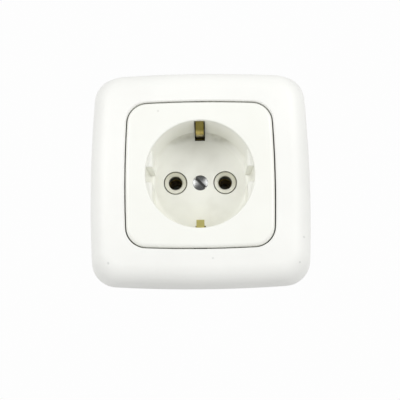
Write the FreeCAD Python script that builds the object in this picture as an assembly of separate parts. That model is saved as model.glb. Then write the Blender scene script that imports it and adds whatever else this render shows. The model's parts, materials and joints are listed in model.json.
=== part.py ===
import FreeCAD, Part
import math
import os

from FreeCAD import Vector

# Earthed wall socket, flush type: a soft square frame, a centre cover with a round plug recess,
# and the insert behind it. Millimetres. The wall surface is the plane y = 0, the front faces -Y,
# +Z is up, and the plug axis is the line x = 0, z = 0.

# Frame round the cover
outer_width = 81.6
front_height = 10.5
frame_front_step = 0.25
outer_corner_radius = 9.6
shoulder_corner_radius = 12.0
outer_bow = 1.0
shoulder_radius = 8.0
shoulder_band_share = 0.75
side_draft = 16.5
front_tilt = 5.0
frame_wall = 2.0
frame_collar_wall = 1.6
frame_edge_break = 0.4
ledge_depth = 5.3
ledge_wall = 1.6
ledge_width = 2.7
frame_rib_wall = 1.2
frame_rib_pitch = 17.0
frame_rib_gap = 0.5
frame_inner_bevel = 2.6

# Centre cover
cover_width = 53.6
cover_corner_radius = 7.4
cover_bow = 0.44
cover_gap = 0.4
cover_edge_radius = 1.5
cover_wall = 2.2
cover_skirt_wall = 1.7
cover_rib_wall = 1.2
cover_rib_width = 3.2

# Plug recess
recess_radius = 19.67
recess_depth = 17.5
recess_draft = 0.8
recess_wall = 1.5
recess_rim_radius = 0.5
recess_floor_radius = 2.6
recess_floor_wall = 1.8
recess_back_bevel = 1.8
pad_height = 2.47
pad_front_depth = 1.6
pad_chamfer = 0.8
pad_groove_width = 5.8
window_width = 3.9
window_front_depth = 1.2
window_floor_inset = 3.07

# Pin holes
pin_pitch = 19.0
pin_hole_radius = 2.6
collar_radius = 4.1
collar_clearance = 0.4
pin_lead_in = 0.45

# Cover screw, raised countersunk head
cover_screw_radius = 1.5
cover_screw_head_radius = 2.95
cover_screw_dome = 0.55
cover_screw_length = 9.0
cover_screw_slot = 0.8
cover_screw_slot_depth = 1.0
cover_screw_slot_angle = 45.0

# Socket base and rear lid
base_front_gap = 0.8
base_depth = 17.4
base_front_wall = 2.8
lid_wall = 2.0
lid_step = 0.6
pillar_radius = 2.6
pillar_gap = 0.83
pillar_seat = 1.5
guard_wall_half_width = 6.0
contact_side_gap = 0.6
contact_top_gap = 0.7
pocket_edge_wall = 6.0
clamp_plate_gap = 1.4
pocket_wall_gap = 0.4
wire_window_width = 5.0
wire_window_height = 5.0
saving_pocket_x = 7.3
saving_pocket_width = 8.0
saving_pocket_foot = 9.0
saving_pocket_wall = 1.05
saving_pocket_depth = 12.0
channel_clearance = 0.05

# Support ring
ring_edge_inset = 5.3
ring_wall = 1.2
ring_corner_radius = 7.0
ring_opening_gap = 0.83
fixing_circle_radius = 30.0
fixing_slot_radius = 1.8
fixing_slot_sweep = 20.0
side_slot_sweep = 14.0
side_slot_angle = 24.0
corner_hole_inset = 8.5
corner_hole_radius = 1.75
edge_notch_radius = 1.5

# Rivets
ring_rivet_radius = 1.3
ring_rivet_head_radius = 2.3
ring_rivet_head = 0.8
ring_rivet_length = 8.0
bracket_rivet_radius = 1.0
bracket_rivet_head_radius = 1.6
bracket_rivet_head = 0.5
bracket_rivet_length = 6.0
bracket_rivet_top = 9.0
bracket_rivet_foot = -5.9
rivet_bevel_share = 0.6

# Earth bracket
strip = 0.8
bracket_half_width = 4.0
bracket_bend_radius = 0.9
dip_bend_radius = 0.6
earth_finger_width = 2.9
earth_crest_reach = 3.87
earth_crest_depth = 6.0
earth_crest_radius = 1.6
earth_floor_radius = 3.0
earth_floor_inset = 1.47
earth_tip_outset = 0.53
earth_tip_depth = 1.9
bracket_boss_radius = 2.6
bracket_boss_length = 3.0
thread_clearance = 0.03

# Live and neutral contacts
contact_plate_half_width = 3.6
contact_plate_top = 4.3
sleeve_inner_radius = 2.3
sleeve_length = 11.5
sleeve_slit = 1.2
sleeve_lead_in = 0.5
sleeve_spring_wall = 0.5
sleeve_spring_width = 2.4
sleeve_spring_place = 8.0

# Terminals
terminal_foot_wall = 4.5
terminal_screw_radius = 1.7
terminal_head_radius = 2.6
terminal_head = 2.0
terminal_screw_length = 7.5
terminal_slot = 0.8
terminal_slot_depth = 1.0
clamp_plate_size = 7.0
clamp_plate_wall = 2.0
clamp_plate_corner = 0.6
screw_edge_bevel = 0.3
wire_space = 2.7

# Lid screws
lid_screw_radius = 1.2
lid_screw_head_radius = 2.2
lid_screw_head = 1.2
lid_screw_length = 8.0
lid_screw_inset = 3.4
lid_screw_angle = 57.5

# Spreading claws
claw_pivot_reach = 3.2
claw_pivot_y = 2.3
claw_pin_radius = 0.7
claw_pin_clearance = 0.07
claw_barrel_radius = 1.4
claw_width = 6.4
claw_tilt = 22.0
claw_sheet = 1.2
claw_leg_reach = 2.5
claw_leg_end = 17.5
claw_tip_length = 3.0
claw_tip_turn = 12.0
claw_bend_radius = 1.2
claw_tooth_depth = 1.6
claw_teeth = 3
claw_screw_gap = 1.2
claw_screw_radius = 1.5
claw_screw_head_radius = 2.6
claw_screw_head = 1.8
claw_screw_length = 17.0
claw_screw_clearance = 0.35
lug_wall = 1.2
lug_gap = 0.3
lug_radius = 1.9

# Worked out from the sizes above
along_y = Vector(0, 1, 0)
front_y = -front_height
frame_front_y = front_y + frame_front_step
outer_half = outer_width / 2
cover_half = cover_width / 2
opening_half = cover_half + cover_gap
opening_corner_radius = cover_corner_radius + cover_gap
ledge_y = front_y + ledge_depth
floor_y = front_y + recess_depth
floor_back_y = floor_y + recess_floor_wall
recess_outer_radius = recess_radius + recess_wall
pad_half_distance = recess_radius - pad_height
window_floor_radius = recess_radius - window_floor_inset
earth_crest = recess_radius - earth_crest_reach
earth_floor_place = recess_radius - earth_floor_inset
earth_tip_place = recess_radius + earth_tip_outset
floor_recess_radius = recess_radius - recess_depth * math.tan(math.radians(recess_draft))
base_front_y = floor_back_y + base_front_gap
base_back_y = base_front_y + base_depth
pocket_y = base_front_y + base_front_wall
lid_back_y = base_back_y + lid_wall
pin_x = pin_pitch / 2
ring_front_y = -ring_wall
ring_size = outer_width - 2 * ring_edge_inset
ring_opening_radius = recess_outer_radius + ring_opening_gap
corner_hole_spacing = ring_size - 2 * corner_hole_inset
pillar_circle_radius = recess_outer_radius + pillar_gap + pillar_radius
base_radius = recess_outer_radius + pillar_gap + pillar_seat
pocket_bottom = base_radius - pocket_edge_wall
terminal_drop = pocket_bottom - terminal_foot_wall
earth_pocket_top = terminal_drop - clamp_plate_size / 2 - clamp_plate_gap
contact_pocket_half_width = contact_plate_half_width + contact_side_gap
contact_pocket_top = contact_plate_top + contact_top_gap
lid_screw_circle_radius = base_radius - lid_screw_inset
claw_screw_x = base_radius + claw_screw_gap + claw_screw_radius
claw_pivot_x = claw_screw_x - claw_pivot_reach
claw_leg_x = claw_screw_x + claw_leg_reach
head_recess_radius = terminal_head_radius + pocket_wall_gap
bracket_rivet_places = (bracket_rivet_top, bracket_rivet_foot)
parting = 1.0


def box(x_low, x_high, y_low, y_high, z_low, z_high):
    corner = Vector(x_low, y_low, z_low)
    return Part.makeBox(x_high - x_low, y_high - y_low, z_high - z_low, corner)


def rod(radius, x, z, y_low, y_high):
    return Part.makeCylinder(radius, y_high - y_low, Vector(x, y_low, z), along_y)


def cone(radius_low, radius_high, x, z, y_low, y_high):
    return Part.makeCone(radius_low, radius_high, y_high - y_low, Vector(x, y_low, z), along_y)


def upright_edges(block):
    """The four edges of a block that run along the plug axis."""
    return [edge for edge in block.Edges if edge.BoundBox.XLength < 0.001 and edge.BoundBox.ZLength < 0.001]


def soft_square(half_width, bow, corner_radius, y):
    """Closed wire at depth y: four gently bowed sides and four corner arcs tangent to them."""
    span = half_width - corner_radius
    side_radius = (span * span + bow * bow) / (2 * bow)
    side_centre = half_width - side_radius
    reach = side_radius - corner_radius
    corner = (side_centre + math.sqrt(2 * reach * reach - side_centre * side_centre)) / 2
    side_angle = math.atan2(corner, corner - side_centre)
    edges = []
    for quarter in range(4):
        turn = math.radians(90 * quarter)

        def at(centre_x, centre_z, radius, angle):
            x = centre_x + radius * math.cos(angle)
            z = centre_z + radius * math.sin(angle)
            turned_x = x * math.cos(turn) - z * math.sin(turn)
            turned_z = x * math.sin(turn) + z * math.cos(turn)
            return Vector(turned_x, y, turned_z)

        side = [at(side_centre, 0, side_radius, angle) for angle in (-side_angle, 0, side_angle)]
        corner_angles = (side_angle, math.pi / 4, math.pi / 2 - side_angle)
        bend = [at(corner, corner, corner_radius, angle) for angle in corner_angles]
        edges.append(Part.Arc(*side).toShape())
        edges.append(Part.Arc(*bend).toShape())
    return Part.Wire(edges)


def soft_block(half_width, bow, corner_radius, y_low, y_high):
    face = Part.Face(soft_square(half_width, bow, corner_radius, y_low))
    return face.extrude(Vector(0, y_high - y_low, 0))


def turned(profile):
    """Solid of revolution about the plug axis. The profile is a closed list of x, y points and arcs."""
    edges = []
    for piece in profile:
        places = [Vector(x, y, 0) for x, y in piece]
        if len(places) == 2:
            edges.append(Part.makeLine(*places))
        else:
            edges.append(Part.Arc(*places).toShape())
    face = Part.Face(Part.Wire(edges))
    return face.revolve(Vector(0, 0, 0), along_y, 360)


def bent_strip(points, sheet, bend_radii, place, pull):
    """Sheet metal strip bent along a centre line. place turns a 2-D point into a 3-D one."""
    left, right = [], []
    last_left = last_right = None

    def side_points(point, normal):
        shift = sheet / 2
        high = (point[0] + normal[0] * shift, point[1] + normal[1] * shift)
        low = (point[0] - normal[0] * shift, point[1] - normal[1] * shift)
        return high, low

    def direction(start, end):
        length = math.dist(start, end)
        return (end[0] - start[0]) / length, (end[1] - start[1]) / length

    heading = direction(points[0], points[1])
    normal = (-heading[1], heading[0])
    last_left, last_right = side_points(points[0], normal)
    first_left, first_right = last_left, last_right
    for middle in range(1, len(points) - 1):
        corner = points[middle]
        bend_radius = bend_radii[middle - 1]
        next_heading = direction(corner, points[middle + 1])
        next_normal = (-next_heading[1], next_heading[0])
        cross = heading[0] * next_heading[1] - heading[1] * next_heading[0]
        dot = heading[0] * next_heading[0] + heading[1] * next_heading[1]
        side = 1 if cross > 0 else -1
        half_turn = abs(math.atan2(cross, dot)) / 2
        back_off = bend_radius * math.tan(half_turn)
        enter = (corner[0] - heading[0] * back_off, corner[1] - heading[1] * back_off)
        leave = (corner[0] + next_heading[0] * back_off, corner[1] + next_heading[1] * back_off)
        reach = bend_radius * side
        centre = (enter[0] + normal[0] * reach, enter[1] + normal[1] * reach)
        outward = direction(centre, corner)
        enter_left, enter_right = side_points(enter, normal)
        leave_left, leave_right = side_points(leave, next_normal)
        left_radius = bend_radius - side * sheet / 2
        right_radius = bend_radius + side * sheet / 2
        mid_left = (centre[0] + outward[0] * left_radius, centre[1] + outward[1] * left_radius)
        mid_right = (centre[0] + outward[0] * right_radius, centre[1] + outward[1] * right_radius)
        left.append(Part.makeLine(place(*last_left), place(*enter_left)))
        left.append(Part.Arc(place(*enter_left), place(*mid_left), place(*leave_left)).toShape())
        right.append(Part.makeLine(place(*last_right), place(*enter_right)))
        right.append(Part.Arc(place(*enter_right), place(*mid_right), place(*leave_right)).toShape())
        last_left, last_right = leave_left, leave_right
        heading, normal = next_heading, next_normal
    end_left, end_right = side_points(points[-1], normal)
    left.append(Part.makeLine(place(*last_left), place(*end_left)))
    right.append(Part.makeLine(place(*last_right), place(*end_right)))
    caps = [Part.makeLine(place(*first_left), place(*first_right))]
    caps.append(Part.makeLine(place(*end_left), place(*end_right)))
    wire = Part.Wire(Part.__sortEdges__(left + right + caps))
    return Part.Face(wire).extrude(pull)


def frame_body(inset, y_shift, tail):
    """Sloping front band and drafted sides. The outer shoulder is rounded, an inset one is bevelled."""
    tilt = math.tan(math.radians(front_tilt))
    draft = math.tan(math.radians(side_draft))
    shoulder_y = (frame_front_y + tilt * (outer_half - opening_half)) / (1 - tilt * draft)
    shoulder_half = outer_half + draft * shoulder_y
    shoulder_bow = (cover_bow + outer_bow) / 2
    sections = [
        (opening_half, cover_bow, opening_corner_radius, frame_front_y),
        (shoulder_half, shoulder_bow, shoulder_corner_radius, shoulder_y),
        (outer_half, outer_bow, outer_corner_radius, 0.0),
    ]
    wires = []
    for half_width, bow, corner_radius, y in sections:
        wires.append(soft_square(half_width - inset, bow, corner_radius - inset / 2, y + y_shift))
    body = Part.makeLoft(wires, True, True)
    level = shoulder_y + y_shift
    shoulder = [edge for edge in body.Edges if abs(edge.BoundBox.YMin - level) < 0.001
                and abs(edge.BoundBox.YMax - level) < 0.001]
    band = shoulder_half - opening_half
    if inset == 0:
        body = body.makeFillet(min(shoulder_radius, shoulder_band_share * band), shoulder)
    else:
        body = body.makeChamfer(min(frame_inner_bevel, shoulder_band_share * band / 2), shoulder)
    if tail > 0:
        back_radius = outer_corner_radius - inset / 2
        body = body.fuse(soft_block(outer_half - inset, outer_bow, back_radius, y_shift, tail))
    return body


def make_cover_frame():
    shell = frame_body(0, 0, 0)
    cavity = frame_body(frame_wall, frame_wall, frame_wall + parting)
    collar_half = opening_half + frame_collar_wall
    collar_corner = opening_corner_radius + frame_collar_wall
    ledge_back_y = ledge_y + ledge_wall
    rib_low_y = frame_front_y + frame_wall / 2
    collar = soft_block(collar_half, cover_bow, collar_corner, rib_low_y, ledge_back_y)
    rib_high_y = ring_front_y - frame_rib_gap
    ribs = None
    for turn in (0, 90):
        for place in (-frame_rib_pitch, 0, frame_rib_pitch):
            low = place - frame_rib_wall / 2
            rib = box(-outer_half, outer_half, rib_low_y, rib_high_y, low, low + frame_rib_wall)
            rib.rotate(Vector(0, 0, 0), along_y, turn)
            ribs = rib if ribs is None else ribs.fuse(rib)
    ribs = ribs.common(frame_body(frame_wall / 2, frame_wall / 2, 0))
    frame = shell.cut(cavity).fuse(collar).fuse(ribs)
    mouth = soft_block(opening_half, cover_bow, opening_corner_radius, front_y - parting, ledge_y)
    inner_half = opening_half - ledge_width
    inner_corner = opening_corner_radius - ledge_width
    through = soft_block(inner_half, cover_bow, inner_corner, front_y - parting, parting)
    clear_half = max(collar_half, claw_screw_x + claw_screw_head_radius) + frame_rib_gap
    rib_clear = soft_block(clear_half, cover_bow, collar_corner, ledge_back_y, parting)
    break_wires = []
    wide = 2 * frame_edge_break
    for grow, y in ((wide, frame_front_y - frame_edge_break), (0, frame_front_y + frame_edge_break)):
        radius = opening_corner_radius + grow
        break_wires.append(soft_square(opening_half + grow, cover_bow, radius, y))
    edge_break = Part.makeLoft(break_wires, True, True)
    return frame.cut(mouth).cut(through).cut(rib_clear).cut(edge_break)


def make_recess_tool():
    """The air inside the plug recess: rim edge rounded out, walls drafted, floor edge rounded in."""
    rim_out = recess_radius + recess_rim_radius
    corner = recess_floor_radius
    diagonal = math.sqrt(0.5)
    floor_arc_x = floor_recess_radius - corner
    floor_arc_y = floor_y - corner
    profile = [
        [(0, front_y - parting), (rim_out, front_y - parting)],
        [(rim_out, front_y - parting), (rim_out, front_y)],
        [
            (rim_out, front_y),
            (rim_out - recess_rim_radius * diagonal, front_y + recess_rim_radius * (1 - diagonal)),
            (recess_radius, front_y + recess_rim_radius),
        ],
        [(recess_radius, front_y + recess_rim_radius), (floor_recess_radius, floor_arc_y)],
        [
            (floor_recess_radius, floor_arc_y),
            (floor_arc_x + corner * diagonal, floor_arc_y + corner * diagonal),
            (floor_arc_x, floor_y),
        ],
        [(floor_arc_x, floor_y), (0, floor_y)],
        [(0, floor_y), (0, front_y - parting)],
    ]
    return turned(profile)


def make_pad(side):
    """Flat guide pad at one side of the recess, split by a groove along the plug's way."""
    pad_y = front_y + pad_front_depth
    wall_middle = recess_radius + recess_wall / 2
    block = box(pad_half_distance, wall_middle, pad_y, floor_y, -wall_middle, wall_middle)
    half_groove = pad_groove_width / 2
    far = wall_middle + parting
    block = block.cut(box(0, far, pad_y - parting, floor_y + parting, -half_groove, half_groove))
    nose = [
        Vector(pad_half_distance, pad_y, -wall_middle),
        Vector(pad_half_distance + pad_chamfer, pad_y, -wall_middle),
        Vector(pad_half_distance, pad_y + pad_chamfer, -wall_middle),
    ]
    wedge = Part.Face(Part.makePolygon(nose + nose[:1])).extrude(Vector(0, 0, 2 * wall_middle))
    block = block.cut(wedge)
    block = block.common(rod(wall_middle, 0, 0, pad_y, floor_y))
    if side < 0:
        block.rotate(Vector(0, 0, 0), along_y, 180)
    return block


def make_centre_cover():
    plate = soft_block(cover_half, cover_bow, cover_corner_radius, front_y, ledge_y)
    front_edges = [edge for edge in plate.Edges if abs(edge.BoundBox.YMax - front_y) < 0.001]
    plate = plate.makeFillet(cover_edge_radius, front_edges)
    hollow_half = cover_half - cover_skirt_wall
    hollow_radius = cover_corner_radius - cover_skirt_wall
    hollow = soft_block(hollow_half, cover_bow, hollow_radius, front_y + cover_wall, ledge_y + parting)
    plate = plate.cut(hollow)
    cup = rod(recess_outer_radius, 0, 0, front_y + cover_wall / 2, floor_back_y)
    foot = [edge for edge in cup.Edges if abs(edge.BoundBox.YMin - floor_back_y) < 0.001]
    cup = cup.makeChamfer(recess_back_bevel, foot)
    ribs = None
    rib_low_y = front_y + cover_wall / 2
    for turn in (45, 135, 225, 315):
        low = recess_outer_radius - cover_rib_width / 2
        high = cover_half * math.sqrt(2) - cover_corner_radius / 2
        half = cover_rib_wall / 2
        rib = box(low, high, rib_low_y, ledge_y - frame_edge_break, -half, half)
        rib.rotate(Vector(0, 0, 0), along_y, turn)
        ribs = rib if ribs is None else ribs.fuse(rib)
    skirt_middle = cover_half - cover_skirt_wall / 2
    ribs = ribs.common(soft_block(skirt_middle, cover_bow, cover_corner_radius, front_y, 0))
    cover = plate.fuse(cup).fuse(ribs).cut(make_recess_tool())
    for side in (-1, 1):
        cover = cover.fuse(make_pad(side))
    half = window_width / 2
    window_y = front_y + window_front_depth
    window_reach = recess_outer_radius + parting
    for side in (-1, 1):
        cover = cover.cut(rod(collar_radius + collar_clearance, side * pin_x, 0, 0, floor_back_y + parting))
        low, high = sorted((side * window_floor_radius, side * window_reach))
        cover = cover.cut(box(-half, half, window_y, floor_back_y + parting, low, high))
    sink = cover_screw_head_radius - cover_screw_radius
    seat = cone(cover_screw_head_radius, cover_screw_radius, 0, 0, floor_y, floor_y + sink)
    hole = rod(cover_screw_radius + collar_clearance, 0, 0, 0, floor_back_y + parting)
    return cover.cut(seat).cut(hole)


def make_cover_screw():
    sink = cover_screw_head_radius - cover_screw_radius
    dome_radius = (cover_screw_head_radius ** 2 + cover_screw_dome ** 2) / (2 * cover_screw_dome)
    half_angle = math.asin(cover_screw_head_radius / dome_radius) / 2
    top_y = floor_y - cover_screw_dome
    end_y = floor_y + cover_screw_length
    dome_middle = (
        dome_radius * math.sin(half_angle),
        top_y + dome_radius * (1 - math.cos(half_angle)),
    )
    point = cover_screw_radius / 2
    profile = [
        [(0, top_y), dome_middle, (cover_screw_head_radius, floor_y)],
        [(cover_screw_head_radius, floor_y), (cover_screw_radius, floor_y + sink)],
        [(cover_screw_radius, floor_y + sink), (cover_screw_radius, end_y - point)],
        [(cover_screw_radius, end_y - point), (point, end_y)],
        [(point, end_y), (0, end_y)],
        [(0, end_y), (0, top_y)],
    ]
    half = cover_screw_slot / 2
    reach = cover_screw_head_radius + parting
    slot = box(-reach, reach, top_y - parting, top_y + cover_screw_slot_depth, -half, half)
    slot.rotate(Vector(0, 0, 0), along_y, cover_screw_slot_angle)
    return turned(profile).cut(slot)


def slotted_screw(x, z, head_y, direction, sizes):
    """Cheese head screw. head_y is the plane under the head, direction the way its shank points."""
    radius, head_radius, head, length, slot, slot_depth = sizes
    shank = rod(radius, 0, 0, -head / 2, length - radius / 2)
    shank = shank.fuse(cone(radius, radius / 2, 0, 0, length - radius / 2, length))
    cap = rod(head_radius, 0, 0, -head, 0)
    rim = [edge for edge in cap.Edges if abs(edge.BoundBox.YMax + head) < 0.001]
    cap = cap.makeChamfer(screw_edge_bevel, rim)
    screw = shank.fuse(cap).removeSplitter()
    half = slot / 2
    screw = screw.cut(box(-head_radius, head_radius, -head - parting, slot_depth - head, -half, half))
    if direction < 0:
        screw.rotate(Vector(0, 0, 0), Vector(0, 0, 1), 180)
    screw.translate(Vector(x, head_y, z))
    return screw


def pillar_places():
    places = []
    for quarter in range(4):
        angle = math.radians(45 + 90 * quarter)
        x = pillar_circle_radius * math.cos(angle)
        z = pillar_circle_radius * math.sin(angle)
        places.append((x, z))
    return places


def lid_screw_places():
    x = lid_screw_circle_radius * math.cos(math.radians(lid_screw_angle))
    z = lid_screw_circle_radius * math.sin(math.radians(lid_screw_angle))
    return [(-x, z), (x, z), (0, -lid_screw_circle_radius)]


def make_guard_walls():
    """Two low walls behind the earth windows, from the front of the base up to the ring."""
    tube = rod(base_radius, 0, 0, 0, base_front_y + parting)
    tube = tube.cut(rod(ring_opening_radius, 0, 0, -parting, base_front_y + 2 * parting))
    half = guard_wall_half_width
    return tube.common(box(-half, half, 0, base_front_y + parting, -base_radius, base_radius))


def make_socket_base():
    base = rod(base_radius, 0, 0, base_front_y, base_back_y)
    for x, z in pillar_places():
        base = base.fuse(rod(pillar_radius, x, z, 0, base_back_y))
    for side in (-1, 1):
        base = base.fuse(rod(collar_radius, side * pin_x, 0, floor_y, base_front_y + parting))
    base = base.fuse(make_guard_walls()).removeSplitter()
    for x, z in pillar_places():
        base = base.cut(rod(ring_rivet_radius, x, z, -parting, ring_rivet_length - ring_wall))
    front = base_front_y - parting
    back = base_back_y + parting
    for side in (-1, 1):
        x = side * pin_x
        lead_radius = pin_hole_radius + pin_lead_in
        base = base.cut(rod(pin_hole_radius, x, 0, floor_y - parting, pocket_y + parting))
        base = base.cut(cone(lead_radius, pin_hole_radius, x, 0, floor_y, floor_y + pin_lead_in))
        low = x - contact_pocket_half_width
        high = x + contact_pocket_half_width
        base = base.cut(box(low, high, pocket_y, back, -pocket_bottom, contact_pocket_top))
        base = base.cut(rod(head_recess_radius, x, -terminal_drop, front, pocket_y + parting))
        low = side * saving_pocket_x - saving_pocket_width / 2
        high = low + saving_pocket_width
        top = lid_screw_places()[0][1] - lid_screw_radius - saving_pocket_wall
        base = base.cut(box(low, high, base_back_y - saving_pocket_depth, back, saving_pocket_foot, top))
    half = bracket_half_width + channel_clearance
    edge = base_radius + parting
    foot = -pocket_bottom - pocket_wall_gap
    base = base.cut(box(-half, half, base_front_y, base_front_y + strip, -edge, edge))
    base = base.cut(box(-half, half, front, back, foot, -earth_pocket_top))
    boss_hole_end = floor_y + cover_screw_length + parting
    base = base.cut(rod(bracket_boss_radius + pocket_wall_gap, 0, 0, front, boss_hole_end))
    low_y = pocket_y + strip
    high_y = low_y + wire_window_height
    for x in (-pin_x, 0, pin_x):
        low = x - wire_window_width / 2
        high = low + wire_window_width
        base = base.cut(box(low, high, low_y, high_y, -edge, -pocket_bottom + parting))
    rivet_end_y = base_front_y + bracket_rivet_length
    for place in bracket_rivet_places:
        base = base.cut(rod(bracket_rivet_radius, 0, place, front, rivet_end_y))
    for x, z in lid_screw_places():
        base = base.cut(rod(lid_screw_radius, x, z, base_back_y - lid_screw_length, base_back_y + parting))
    return base


def make_rear_lid():
    lid = rod(base_radius - lid_step, 0, 0, base_back_y, lid_back_y)
    back_edge = [edge for edge in lid.Edges if abs(edge.BoundBox.YMin - lid_back_y) < 0.001]
    lid = lid.makeChamfer(lid_step, back_edge)
    for x, z in lid_screw_places():
        lid = lid.cut(rod(lid_screw_radius, x, z, base_back_y - parting, lid_back_y + parting))
    return lid


def make_support_ring():
    half = ring_size / 2
    plate = box(-half, half, ring_front_y, 0, -half, half)
    plate = plate.makeFillet(ring_corner_radius, upright_edges(plate))
    plate = plate.cut(rod(ring_opening_radius, 0, 0, ring_front_y - parting, parting))
    for side in (-1, 1):
        for end in (-1, 1):
            lug_middle = end * (claw_width / 2 + lug_gap + lug_wall / 2)
            plate = plate.fuse(make_lug(side, lug_middle))
        hole_radius = claw_screw_radius + claw_screw_clearance
        plate = plate.cut(rod(hole_radius, side * claw_screw_x, 0, ring_front_y - parting, parting))
    sweeps = [(90, fixing_slot_sweep), (270, fixing_slot_sweep)]
    for half_turn in (0, 180):
        sweeps.append((half_turn + side_slot_angle, side_slot_sweep))
        sweeps.append((half_turn - side_slot_angle, side_slot_sweep))
    for middle, sweep in sweeps:
        plate = plate.cut(arc_slot(fixing_circle_radius, fixing_slot_radius, middle, sweep))
    reach = corner_hole_spacing / 2
    for x in (-reach, reach):
        for z in (-reach, reach):
            plate = plate.cut(rod(corner_hole_radius, x, z, ring_front_y - parting, parting))
    for x, z in ((half, 0), (-half, 0), (0, half), (0, -half)):
        plate = plate.cut(rod(edge_notch_radius, x, z, ring_front_y - parting, parting))
    for x, z in pillar_places():
        plate = plate.cut(rod(ring_rivet_radius, x, z, ring_front_y - parting, parting))
    return plate


def make_lug(side, middle):
    """Ear bent back from the ring that carries one end of a claw pin."""
    low_z = middle - lug_wall / 2
    x = side * claw_pivot_x
    eye = Part.makeCylinder(lug_radius, lug_wall, Vector(x, claw_pivot_y, low_z))
    inner_x = claw_pivot_x - lug_radius / 2
    outer_x = claw_pivot_x + lug_radius
    low, high = sorted((side * inner_x, side * outer_x))
    root = box(low, high, -ring_wall / 2, claw_pivot_y, low_z, low_z + lug_wall)
    hole_foot = Vector(x, claw_pivot_y, low_z - parting)
    hole = Part.makeCylinder(claw_pin_radius, lug_wall + 2 * parting, hole_foot)
    recess_room = rod(recess_outer_radius + lug_gap, 0, 0, -parting, floor_back_y)
    return eye.fuse(root).cut(hole).cut(recess_room)


def arc_slot(circle_radius, slot_radius, middle, sweep):
    """Slot along a circle about the plug axis, with round ends."""
    low_y = ring_front_y - parting
    high_y = parting
    ring = rod(circle_radius + slot_radius, 0, 0, low_y, high_y)
    ring = ring.cut(rod(circle_radius - slot_radius, 0, 0, low_y - parting, high_y + parting))
    reach = 2 * circle_radius
    corners = [Vector(0, low_y, 0)]
    ends = []
    for angle in (middle - sweep / 2, middle + sweep / 2):
        turn = math.radians(angle)
        corners.append(Vector(reach * math.cos(turn), low_y, reach * math.sin(turn)))
        ends.append((circle_radius * math.cos(turn), circle_radius * math.sin(turn)))
    wedge = Part.Face(Part.makePolygon(corners + corners[:1])).extrude(Vector(0, high_y - low_y, 0))
    slot = ring.common(wedge)
    for x, z in ends:
        slot = slot.fuse(rod(slot_radius, x, z, low_y, high_y))
    return slot


def make_rivet(sizes, x, z, seat_y):
    """Bevelled head rivet: the head lies in front of seat_y, the shank runs back."""
    radius, head_radius, head, length = sizes
    rivet = rod(head_radius, 0, 0, -head, 0)
    rim = [edge for edge in rivet.Edges if abs(edge.BoundBox.YMax + head) < 0.001]
    rivet = rivet.makeChamfer(head * rivet_bevel_share, rim)
    rivet = rivet.fuse(rod(radius, 0, 0, -head / 2, length)).removeSplitter()
    rivet.translate(Vector(x, seat_y, z))
    return rivet


def make_earth_bracket():
    """One brass strip: a finger at the top and the bottom of the recess, a dip for the terminal."""
    strap_y = base_front_y + strip / 2
    terminal_y = pocket_y + strip / 2
    crest_y = front_y + earth_crest_depth
    tip_y = front_y + earth_tip_depth
    crest = earth_crest + strip / 2
    dip_foot = -pocket_bottom - pocket_wall_gap + strip
    dip_top = -earth_pocket_top - strip
    path = [
        (tip_y, earth_tip_place),
        (crest_y, crest),
        (floor_y, earth_floor_place),
        (strap_y, earth_floor_place + strip),
        (strap_y, dip_top),
        (terminal_y, dip_top),
        (terminal_y, dip_foot),
        (strap_y, dip_foot),
        (strap_y, -earth_floor_place - strip),
        (floor_y, -earth_floor_place),
        (crest_y, -crest),
        (tip_y, -earth_tip_place),
    ]
    finger_radii = [earth_crest_radius, earth_floor_radius, bracket_bend_radius]
    radii = finger_radii + 4 * [dip_bend_radius] + finger_radii[::-1]
    half = bracket_half_width
    pull = Vector(2 * half, 0, 0)
    bracket = bent_strip(path, strip, radii, lambda y, z: Vector(-half, y, z), pull)
    finger = earth_finger_width / 2
    reach = recess_radius + 2 * recess_wall
    for low, high in ((-half - parting, -finger), (finger, half + parting)):
        bracket = bracket.cut(box(low, high, front_y, base_front_y, -reach, reach))
    boss_end = base_front_y + strip + bracket_boss_length
    bracket = bracket.fuse(rod(bracket_boss_radius, 0, 0, strap_y, boss_end)).removeSplitter()
    cover_thread = cover_screw_radius + thread_clearance
    terminal_thread = terminal_screw_radius + thread_clearance
    bracket = bracket.cut(rod(cover_thread, 0, 0, front_y, base_back_y))
    bracket = bracket.cut(rod(terminal_thread, 0, -terminal_drop, front_y, base_back_y))
    for place in bracket_rivet_places:
        bracket = bracket.cut(rod(bracket_rivet_radius, 0, place, front_y, base_back_y))
    return bracket


def make_contact(side):
    """Stamped plate with the terminal at its foot and a slit sleeve that grips the plug pin."""
    x = side * pin_x
    half = contact_plate_half_width
    back_y = pocket_y + strip
    foot = -pocket_bottom + pocket_wall_gap
    plate = box(x - half, x + half, pocket_y, back_y, foot, contact_plate_top)
    sleeve = rod(sleeve_inner_radius + strip, x, 0, pocket_y, pocket_y + sleeve_length)
    contact = plate.fuse(sleeve).cut(rod(sleeve_inner_radius, x, 0, pocket_y - parting, base_back_y))
    lead_radius = sleeve_inner_radius + sleeve_lead_in
    contact = contact.cut(cone(lead_radius, sleeve_inner_radius, x, 0, pocket_y, pocket_y + sleeve_lead_in))
    reach = sleeve_inner_radius + 2 * strip
    slit = sleeve_slit / 2
    end_y = pocket_y + sleeve_length + parting
    contact = contact.cut(box(x - reach, x + reach, back_y + strip, end_y, -slit, slit))
    thread = terminal_screw_radius + thread_clearance
    return contact.cut(rod(thread, x, -terminal_drop, pocket_y - parting, base_back_y))


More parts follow.
